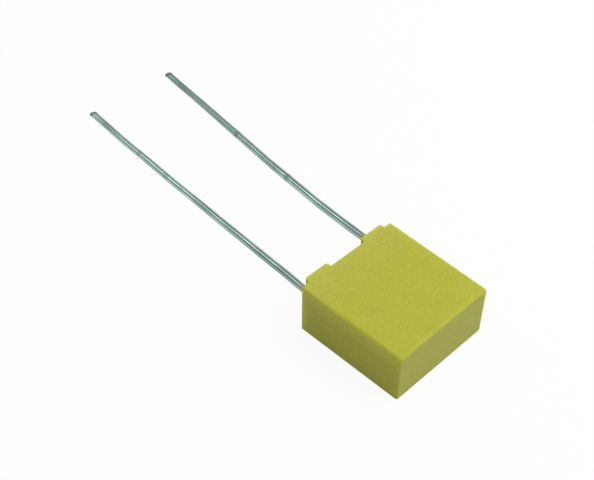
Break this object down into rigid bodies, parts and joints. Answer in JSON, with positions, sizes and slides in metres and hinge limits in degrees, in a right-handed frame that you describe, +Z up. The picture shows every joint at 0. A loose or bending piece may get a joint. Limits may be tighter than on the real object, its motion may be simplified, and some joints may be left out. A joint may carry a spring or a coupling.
{
  "type": "box film capacitor",
  "caption": "Box-shaped film capacitor: a moulded resin-filled case with stand-off feet and two long bare wire leads, lying on its broad side.",
  "frame": {"origin": "middle of the broad side that the capacitor lies on", "axes": "+Z up through the thickness, +Y the way the leads leave the case, +X along the lead pitch"},
  "size_m": [0.0119, 0.0406, 0.005],
  "materials": {
    "case_plastic": "matte",
    "potting_resin": "satin",
    "metallised_film": "gloss",
    "sprayed_zinc": "matte",
    "tinned_wire": "satin"
  },
  "bodies": {
    "root": {"case": "case_plastic", "potting_resin": "potting_resin", "film_winding": "metallised_film", "end_spray_left": "sprayed_zinc", "end_spray_right": "sprayed_zinc", "lead_left": "tinned_wire", "lead_right": "tinned_wire"}
  },
  "joints": []
}
